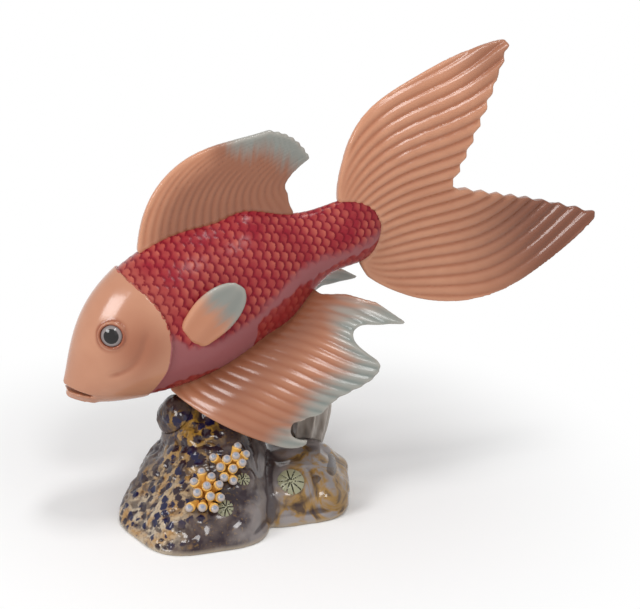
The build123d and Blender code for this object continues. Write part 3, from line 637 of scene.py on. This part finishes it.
def seen_rays(tree):
    """1 where the camera sees a surface, also by reflection or through glass, and 0 where it gives light."""
    rays = add(tree, "ShaderNodeLightPath")
    direct = add(tree, "ShaderNodeMath", {"Value": rays.outputs["Is Camera Ray"],
                                          "Value_001": rays.outputs["Is Glossy Ray"]}, operation="MAXIMUM")
    return add(tree, "ShaderNodeMath", {"Value": direct, "Value_001": rays.outputs["Is Transmission Ray"]},
               operation="MAXIMUM")


def white_paper():
    """Matt white paper that takes the shadow near the object and fades to plain white further off."""
    material = bpy.data.materials.new("White paper")
    material.use_nodes = True
    tree = material.node_tree
    shader = tree.nodes["Principled BSDF"]
    shader.inputs["Base Color"].default_value = tuple(bpy.context.scene.glaze_colours.floor)
    shader.inputs["Roughness"].default_value = 0.9
    shader.inputs["Specular IOR Level"].default_value = 0.0
    reach = add(tree, "ShaderNodeVectorMath", {"Vector": add(tree, "ShaderNodeTexCoord").outputs["Object"]},
                operation="LENGTH")
    off = add(tree, "ShaderNodeMapRange", {"Value": reach.outputs["Value"], "From Min": FLOOR_NEAR,
                                           "From Max": FLOOR_FAR}, interpolation_type="SMOOTHSTEP")
    share = add(tree, "ShaderNodeMath", {"Value": off, "Value_001": seen_rays(tree)}, operation="MULTIPLY")
    white = add(tree, "ShaderNodeEmission", {"Strength": 1.0})
    mix = add(tree, "ShaderNodeMixShader", {"Fac": share, "Shader": shader, "Shader_001": white})
    tree.links.new(mix.outputs[0], tree.nodes["Material Output"].inputs["Surface"])
    return material


def gill_along(up):
    """How far back the gill's edge lies at a height on the fish."""
    return along_line([(v, u) for u, v in reversed(GILL_EDGE)], up)


def scale_height(x, y):
    """Height of the overlapping scales, 0 to 1, and how near the rim of the scale above is, 1 at the rim; the
    latter places a painted shadow under that rim.
    """
    line = 0
    for column in (floor(x) - 1, floor(x)):
        shift = 0.5 * (column % 2)
        dx = (x - column) / SCALE_REACH
        dy = (y - shift - round(y - shift)) / SCALE_SPREAD
        rim = sqrt(dx * dx + dy * dy)
        if rim < 1:
            return dx * (1 - SCALE_DROP * dy * dy), line
        line = 1 - smoothstep(1, 1 + SCALE_LINE, rim)
    return 0, line


def trunk_skin(sizes):
    """The trunk's outer skin: a grid drawn onto the CAD body from all sides, with its scales pressed in."""
    body = merged("trunk", "head")
    bmesh.ops.transform(body, matrix=LEVEL, verts=body.verts)
    solid = BVHTree.FromBMesh(body)
    body.free()

    def ring_point(along, angle):
        top = solid.ray_cast(Vector((along, 0, FAR)), Vector((0, 0, -1)))[0].z
        bottom = solid.ray_cast(Vector((along, 0, -FAR)), Vector((0, 0, 1)))[0].z
        middle = Vector((along, 0, (top + bottom) / 2))
        out = Vector((0, sin(angle), cos(angle)))
        return solid.ray_cast(middle + out * FAR, -out)[0], middle

    skin = bmesh.new()
    bmesh.ops.create_grid(skin, x_segments=TRUNK_COLUMNS, y_segments=TRUNK_AROUND, size=1)
    crest, outline, belly, underside, nape = [skin.verts.layers.float.new(name) for name in TRUNK_MARKS]
    fronts = {}
    for vert in skin.verts:
        angle = pi * (vert.co.y + 1)
        key = round(angle, 4)
        if key not in fronts:
            fronts[key] = gill_along(ring_point(GILL_MIDDLE * MM, angle)[0].z / MM) - TRUNK_TUCK
        share = (vert.co.x + 1) / 2
        along = fronts[key] + (TRUNK_END - fronts[key]) * share * (1 + COLUMN_EASE * (1 - share))
        point, middle = ring_point(along * MM, angle)
        side = ring_point(along * MM, pi / 2)[0]
        turn = angle - pi / 2 if angle <= pi else 3 * pi / 2 - angle
        flank = turn * ((point - middle).length + (side - middle).length) / 2
        taper = 1 - SCALE_TAPER * max(0, along - TAPER_START)
        run = min(along, TAPER_START) - log(taper) / SCALE_TAPER
        up = point.z / MM
        row = flank / (sizes.scale_rows * taper)
        # The second value marks the painted shadow under the rim of the scale above
        vert[crest], vert[outline] = scale_height(run * MM / sizes.scale_columns, row)
        edge = up + BORDER_WAVE * noise.noise(Vector((along, up, 0)) / BORDER_SPACING)
        vert[underside] = 1 - smoothstep(*UNDERSIDE_FADE, edge - along_line(BELLY_FOOT, along))
        # The belly mark places a painted reflection of the floor along the belly
        over_strip = smoothstep(*BELLY_FADE, edge - along_line(BELLY_TOP, along))
        vert[belly] = (1 - vert[underside]) * (1 - over_strip)
        vert[nape] = smoothstep(*NAPE_RISE, up) * (1 - smoothstep(*NAPE_FADE, along - gill_along(up)))
        sunk = sizes.scale_relief * taper * (1 - vert[crest]) * (1 - BELLY_CALM * vert[belly])
        sunk += GILL_TUCK * MM * smoothstep(*TUCK_FADE, gill_along(up) - along)
        vert.co = FISH @ (point + (middle - point).normalized() * sunk)
    bmesh.ops.remove_doubles(skin, verts=skin.verts, dist=MERGE)
    bmesh.ops.holes_fill(skin, edges=[edge for edge in skin.edges if edge.is_boundary])
    bmesh.ops.recalc_face_normals(skin, faces=skin.faces)
    return skin


def head_skin(sizes):
    """The head, with smooth ends of the lips, a groove round each cheek, tinted eye rings, and cheeks marked
    for a darker tone that is partly painted shade.
    """
    skin = even_skin(merged("head"), sizes.skin_step, SOFT_ROUNDS["head"])
    crease = interpolate_bezier(*[Vector(point) for point in CHEEK_GROOVE], GROOVE_POINTS)

    def off(vert, spot):
        along, _, up = on_fish(vert.co)
        return sqrt((along - spot[0]) ** 2 + (up - spot[1]) ** 2)

    smooth(skin, [vert for vert in skin.verts if off(vert, LIP_END) < LIP_REACH], SOFT_ROUNDS["lip"])

    def groove(vert):
        along, side, up = on_fish(vert.co)
        ends = smoothstep(*GROOVE_FRONT, along) * (1 - smoothstep(*GROOVE_TOP, up))
        ends *= smoothstep(*GROOVE_SIDE, abs(side))
        return -sizes.groove_depth * ends * exp(-(off_line(crease, along, up) / GROOVE_WIDTH) ** 2)

    # Marks the cheek's darker tone, partly its own colour and partly painted shade
    def cheek(vert):
        on_side = smoothstep(*CHEEK_SIDE, abs(on_fish(vert.co).y))
        return (1 - smoothstep(*CHEEK_FADE, off(vert, CHEEK))) * on_side

    push(skin, groove)
    mark_crests(skin, LEVEL_ROUNDS["head"], CREST_HEIGHT)
    mark(skin, "eye_ring", lambda vert: 1 - smoothstep(*EYE_RING, off(vert, EYE_PLACE)))
    mark(skin, "cheek", cheek)
    return skin


def eye_skin(node):
    """A domed enamel eye, marked by the distance from its middle."""
    skin = even_skin(merged(node), EYE_STEP, SOFT_ROUNDS["eye"])
    low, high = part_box(node)
    middle = (Vector(low) + Vector(high)) / 2
    turn, lift = radians(EYE_TURN), radians(EYE_LIFT)
    side = 1 if middle.y > 0 else -1
    axis = FISH.to_3x3() @ Vector((-sin(turn) * cos(lift), side * cos(turn) * cos(lift), sin(lift)))
    flat = [vert.co - middle - axis * (vert.co - middle).dot(axis) for vert in skin.verts]
    radius = max(spot.length for spot in flat)
    skin.verts.index_update()
    mark(skin, "iris", lambda vert: flat[vert.index].length / radius)
    return skin


def fin_skin(node, sizes, tip, deep, filled):
    """A fin with its furrows filled by a share of their depth, and its rays, tip and the parts that get
    painted shade marked.
    """
    skin = even_skin(merged(node), sizes.skin_step, SOFT_ROUNDS["fin"])
    mark_crests(skin, LEVEL_ROUNDS["fin"], sizes.fin_relief)
    crest = skin.verts.layers.float["crest"]
    push(skin, lambda vert: sizes.fin_relief * filled * (1 - 2 * vert[crest]))
    mark(skin, "tip", tip)
    mark(skin, "deep", deep)
    trunk = BVHTree.FromBMesh(merged("trunk"))
    for vert in skin.verts:
        _, out, _, gap = trunk.find_nearest(vert.co)
        vert.co -= out * ROOT_SINK * MM * (1 - smoothstep(*ROOT_GAP, gap / MM))
    return skin


def streak(along, up, rays):
    """Brush strokes that run along rays of a slope in degrees, about -1 to 1."""
    slope = radians(rays)
    lengthways = along * cos(slope) + up * sin(slope)
    across = up * cos(slope) - along * sin(slope)
    broad = noise.noise(Vector((lengthways / BROAD_STROKE[0], across / BROAD_STROKE[1], 0)))
    fine = noise.noise(Vector((lengthways / FINE_STROKE[0], across / FINE_STROKE[1], 5)))
    return broad + FINE_SHARE * fine


def near_hem(hem, spray, rays):
    """A mark that grows from 0 to 1 towards a fin's hem, in brush strokes along its rays."""
    def share(vert):
        along, _, up = on_fish(vert.co)
        return 1 - smoothstep(*spray, off_line(hem, along, up) + HEM_STROKES * streak(along, up, rays))
    return share


def paddle_tip(vert):
    """A mark that grows along the pectoral fins from their roots."""
    along, _, up = on_fish(vert.co)
    strokes = PECTORAL_STROKES * streak(along, up, PECTORAL_RAYS)
    return smoothstep(*PECTORAL_SPRAY, along + PECTORAL_SLANT * up + strokes)


def off_front(vert):
    """A mark that grows away from the dorsal fin's leading edge: painted shade on a fin that faces from the
    light, partly its own airbrushed terracotta.
    """
    along, _, up = on_fish(vert.co)
    return DORSAL_SHARE * smoothstep(*DORSAL_DEEP, off_line(DORSAL_FRONT, along, up))


def lobe_tips(vert):
    """A mark of painted shade that grows towards the tips of the tail, most on its lower lobe, which faces
    down away from the light.
    """
    along, _, up = on_fish(vert.co)
    lower = smoothstep(*LOWER_LOBE, along) * (1 - smoothstep(*LOWER_LEVELS, up))
    return lower + UPPER_SHARE * smoothstep(*UPPER_LOBE, along) * smoothstep(*UPPER_LEVELS, up)


def near_root(vert):
    """Painted shade that grows towards the pelvic fins' roots, where the body shades them, and a little down
    the fins.
    """
    along, _, up = on_fish(vert.co)
    at_root = 1 - smoothstep(*PELVIC_DEEP, off_line(PELVIC_ROOT, along, up))
    return 0.6 - 0.3 * smoothstep(*PELVIC_LEVELS, up) + 0.6 * at_root


def none(vert):
    """No mark."""
    return 0


def rock_skin(node, step, seats, relief):
    """Rock with hollows, and pits on the mound, that stay clear of what is luted to it and of its foot."""
    skin = even_skin(merged(node), step, SOFT_ROUNDS[node])
    luted = BVHTree.FromBMesh(merged(*seats))

    def hollow(vert):
        place = vert.co / MM
        mound = 1 - smoothstep(*MOUND_END, place.x - ROCK_LEAN * place.z)
        spot = Vector([part / spacing for part, spacing in zip(place, HOLLOWS[node])])
        wave = noise.fractal(spot, 1.0, 2.0, OCTAVES + MOUND_OCTAVES * mound)
        pit = mound * smoothstep(*PIT_FADE, noise.noise(place / PIT_SPACING))
        clear = smoothstep(*FOOT_CLEAR, place.z) * smoothstep(*SEAT_CLEAR, luted.find_nearest(vert.co)[3])
        return -relief * clear * (smoothstep(*HOLLOW_FADE, wave) + PIT_SHARE * pit)

    push(skin, hollow)
    mark_crests(skin, LEVEL_ROUNDS["rock"], CREST_HEIGHT)
    return skin


def polyp_skin(node, sizes):
    """One coral polyp, rounded by its coat of glaze."""
    skin = even_skin(merged(node), sizes.coral_step, SOFT_ROUNDS["polyp"])
    push(skin, lambda vert: sizes.coral_coat)
    mark_crests(skin, LEVEL_ROUNDS["polyp"], CREST_HEIGHT)
    return skin


def bead_skin(node):
    """A tuft's beads, each a slightly flattened pearl with a blue-grey heart, a painted reflection, that
    faces outwards.
    """
    cast = merged(node)
    outwards = Vector(BEAD_FACING).normalized()
    skin = bmesh.new()
    heart = skin.verts.layers.float.new("heart")
    loose = set(cast.verts)
    while loose:
        group, front = set(), [min(loose, key=lambda v: v.co.x)]
        while front:
            vert = front.pop()
            if vert not in group:
                group.add(vert)
                front += [edge.other_vert(vert) for edge in vert.link_edges]
        loose -= group
        low = Vector([min(v.co[k] for v in group) for k in range(3)])
        high = Vector([max(v.co[k] for v in group) for k in range(3)])
        middle, radius = (low + high) / 2, (high - low).x / 2
        pearl = bmesh.ops.create_icosphere(skin, subdivisions=4, radius=radius)["verts"]
        for vert in pearl:
            facing = vert.co.normalized().dot(outwards)
            vert[heart] = smoothstep(*HEART_FADE, facing)
            vert.co = middle + vert.co * (1 - BEAD_DENT * smoothstep(0.5, 1, facing))
    cast.free()
    return skin


def disc_skin(node, sizes):
    """A shell disc with its grooves marked."""
    skin = even_skin(merged(node), sizes.coral_step, SOFT_ROUNDS["disc"])
    mark_crests(skin, LEVEL_ROUNDS["disc"], DISC_HEIGHT)
    return skin


POLYPS = sorted(name for name in NODES if "polyp" in name)
BEADS = sorted(name for name in NODES if name.endswith("beads"))
DISCS = sorted(name for name in NODES if name.endswith("disc"))
# For each fin: where its tip's glaze lies, where it is darkened with painted shade, and how far its furrows
# are filled
FIN_SPRAYS_AND_SHADES = {
    "dorsal_fin": (near_hem(DORSAL_HEM, DORSAL_SPRAY, DORSAL_RAYS), off_front, 0),
    "tail_fin": (none, lobe_tips, 0),
    "left_pelvic_fin": (near_hem(PELVIC_HEM, PELVIC_SPRAY, PELVIC_RAYS), near_root, 0.75),
    "right_pelvic_fin": (near_hem(PELVIC_HEM, PELVIC_SPRAY, PELVIC_RAYS), near_root, 0.75),
    "left_pectoral_fin": (paddle_tip, none, 0),
    "right_pectoral_fin": (paddle_tip, none, 0),
}


class FISH_OT_trunk(bpy.types.Operator):
    """Presses the scales into the trunk and glazes it red"""
    bl_idname = "fish.trunk"
    bl_label = "Scaled trunk"

    def execute(self, context):
        finished("scaled_trunk", trunk_skin(context.scene.fish_sizes), scale_glaze(), "body_glaze", "trunk")
        return {"FINISHED"}


class FISH_OT_head(bpy.types.Operator):
    """Softens the head and glazes it peach"""
    bl_idname = "fish.head"
    bl_label = "Head"

    def execute(self, context):
        finished("smooth_head", head_skin(context.scene.fish_sizes), head_glaze(), "head_glaze", "head")
        return {"FINISHED"}


class FISH_OT_eyes(bpy.types.Operator):
    """Enamels both eyes"""
    bl_idname = "fish.eyes"
    bl_label = "Eyes"

    def execute(self, context):
        enamel = eye_glaze()
        for node in ("left_eye", "right_eye"):
            finished(f"enamel_{node}", eye_skin(node), enamel, "eye_glaze", node)
        return {"FINISHED"}


class FISH_OT_fins(bpy.types.Operator):
    """Softens the fluted fins and glazes them terracotta with grey-green tips"""
    bl_idname = "fish.fins"
    bl_label = "Fins"

    def execute(self, context):
        terracotta = fin_glaze()
        for node, sprays_and_shades in FIN_SPRAYS_AND_SHADES.items():
            skin = fin_skin(node, context.scene.fish_sizes, *sprays_and_shades)
            finished(f"glazed_{node}", skin, terracotta, "fin_glaze", node)
        return {"FINISHED"}


class FISH_OT_rock(bpy.types.Operator):
    """Roughens the rock base, the boulder and the pillar and glazes them"""
    bl_idname = "fish.rock"
    bl_label = "Rock"

    def execute(self, context):
        sizes, c = context.scene.fish_sizes, palette()
        mottled = rock_glaze()
        bark = pooled_glaze("Grey pillar glaze", c["pillar_brown"], c["pillar_grey"])[0]
        seats = [*POLYPS, *DISCS, "boulder", "rock_pillar", "trunk"]
        base = rock_skin("rock_base", sizes.rock_step, seats, sizes.rock_lumps)
        finished("mottled_rock", base, mottled, "rock_glaze", "rock_base")
        stone = rock_skin("boulder", sizes.skin_step, ["rock_base"], sizes.rock_lumps / 3)
        finished("mottled_boulder", stone, mottled, "rock_glaze", "boulder")
        spire = rock_skin("rock_pillar", sizes.skin_step, ["rock_base"], sizes.rock_lumps / 3)
        finished("ridged_pillar", spire, bark, "pillar_glaze", "rock_pillar")
        return {"FINISHED"}


class FISH_OT_coral(bpy.types.Operator):
    """Glazes the coral polyps yellow and their beads like pearls"""
    bl_idname = "fish.coral"
    bl_label = "Coral"

    def execute(self, context):
        c = palette()
        yellow = pooled_glaze("Yellow coral glaze", c["coral_root"], c["coral"], low=0.35, high=0.6)[0]
        pearl = pearl_glaze()
        for node in POLYPS:
            finished(f"coral_{node}", polyp_skin(node, context.scene.fish_sizes), yellow, "coral_glaze", node)
        for node in BEADS:
            finished(f"pearl_{node}", bead_skin(node), pearl, "bead_glaze", node)
        return {"FINISHED"}


class FISH_OT_discs(bpy.types.Operator):
    """Glazes the shell discs pale green with dark grooves"""
    bl_idname = "fish.discs"
    bl_label = "Shell discs"

    def execute(self, context):
        c = palette()
        green = pooled_glaze("Green shell glaze", c["disc_groove"], c["disc"], low=0.25, high=0.55)[0]
        for node in DISCS:
            finished(f"grooved_{node}", disc_skin(node, context.scene.fish_sizes), green, "disc_glaze", node)
        return {"FINISHED"}


class FISH_OT_stage(bpy.types.Operator):
    """Sets up the floor, the lamps, the white surroundings and the camera"""
    bl_idname = "fish.stage"
    bl_label = "Studio"

    def execute(self, context):
        studio = context.scene.studio_settings
        sweep = bmesh.new()
        bmesh.ops.create_grid(sweep, x_segments=1, y_segments=1, size=FLOOR_SIZE)
        mesh = bpy.data.meshes.new("paper_floor")
        sweep.to_mesh(mesh)
        sweep.free()
        mesh.materials.append(white_paper())
        paper_floor = bpy.data.objects.new("paper_floor", mesh)
        context.scene.collection.objects.link(paper_floor)

        world = bpy.data.worlds.new("White studio")
        context.scene.world = world
        world.use_nodes = True
        sky = world.node_tree
        level = add(sky, "ShaderNodeMapRange", {"Value": seen_rays(sky), "To Min": studio.sky, "To Max": 1.0})
        sky.links.new(level.outputs[0], sky.nodes["Background"].inputs["Strength"])
        sky.nodes["Background"].inputs["Color"].default_value = (1, 1, 1, 1)

        target = Vector(studio.target)
        for name, place, size, watts in (
            ("key_softbox", KEY_PLACE, KEY_SIZE, studio.key_power),
            ("top_softbox", TOP_PLACE, TOP_SIZE, studio.top_power),
            ("glint_softbox", GLINT_PLACE, GLINT_SIZE, studio.glint_power),
            ("fill_softbox", FILL_PLACE, FILL_SIZE, studio.fill_power),
        ):
            lamp = bpy.data.lights.new(name, "AREA")
            lamp.shape = "RECTANGLE"
            lamp.size, lamp.size_y = size
            lamp.energy = watts
            holder = bpy.data.objects.new(name, lamp)
            holder.location = place
            holder.rotation_euler = (target - Vector(place)).to_track_quat("-Z", "Y").to_euler()
            context.scene.collection.objects.link(holder)

        lens = bpy.data.cameras.new("photo_camera")
        lens.lens = studio.focal
        lens.sensor_width = 36
        camera = bpy.data.objects.new("photo_camera", lens)
        turn, lift = studio.azimuth, studio.elevation
        back = Vector((sin(turn) * cos(lift), -cos(turn) * cos(lift), sin(lift)))
        camera.location = target + back * studio.distance
        camera.rotation_euler = back.to_track_quat("Z", "Y").to_euler()
        context.scene.collection.objects.link(camera)
        context.scene.camera = camera
        context.scene.view_settings.view_transform = "Standard"
        return {"FINISHED"}


class FISH_PT_sidebar(bpy.types.Panel):
    """Lists the pieces and the settings"""
    bl_idname = "FISH_PT_sidebar"
    bl_label = "Porcelain Fish"
    bl_space_type = "VIEW_3D"
    bl_region_type = "UI"
    bl_category = "Porcelain Fish"

    def draw(self, context):
        for operator in OPERATORS:
            self.layout.operator(operator.bl_idname)
        for group in GROUPS:
            box = self.layout.box()
            for name in GROUPS[group].__annotations__:
                box.prop(getattr(context.scene, group), name)


GROUPS = {"fish_sizes": FishSizes, "glaze_colours": GlazeColours, "studio_settings": StudioSettings}
OPERATORS = (FISH_OT_trunk, FISH_OT_head, FISH_OT_eyes, FISH_OT_fins, FISH_OT_rock, FISH_OT_coral,
             FISH_OT_discs, FISH_OT_stage)


def register():
    for group, kind in GROUPS.items():
        bpy.utils.register_class(kind)
        setattr(bpy.types.Scene, group, PointerProperty(type=kind))
    for kind in (*OPERATORS, FISH_PT_sidebar):
        bpy.utils.register_class(kind)


def unregister():
    for kind in (FISH_PT_sidebar, *reversed(OPERATORS)):
        bpy.utils.unregister_class(kind)
    for group, kind in GROUPS.items():
        delattr(bpy.types.Scene, group)
        bpy.utils.unregister_class(kind)


def main():
    """Makes every piece and the studio."""
    register()
    bpy.ops.fish.trunk()
    bpy.ops.fish.head()
    bpy.ops.fish.eyes()
    bpy.ops.fish.fins()
    bpy.ops.fish.rock()
    bpy.ops.fish.coral()
    bpy.ops.fish.discs()
    bpy.ops.fish.stage()


if __name__ == "__main__":
    main()
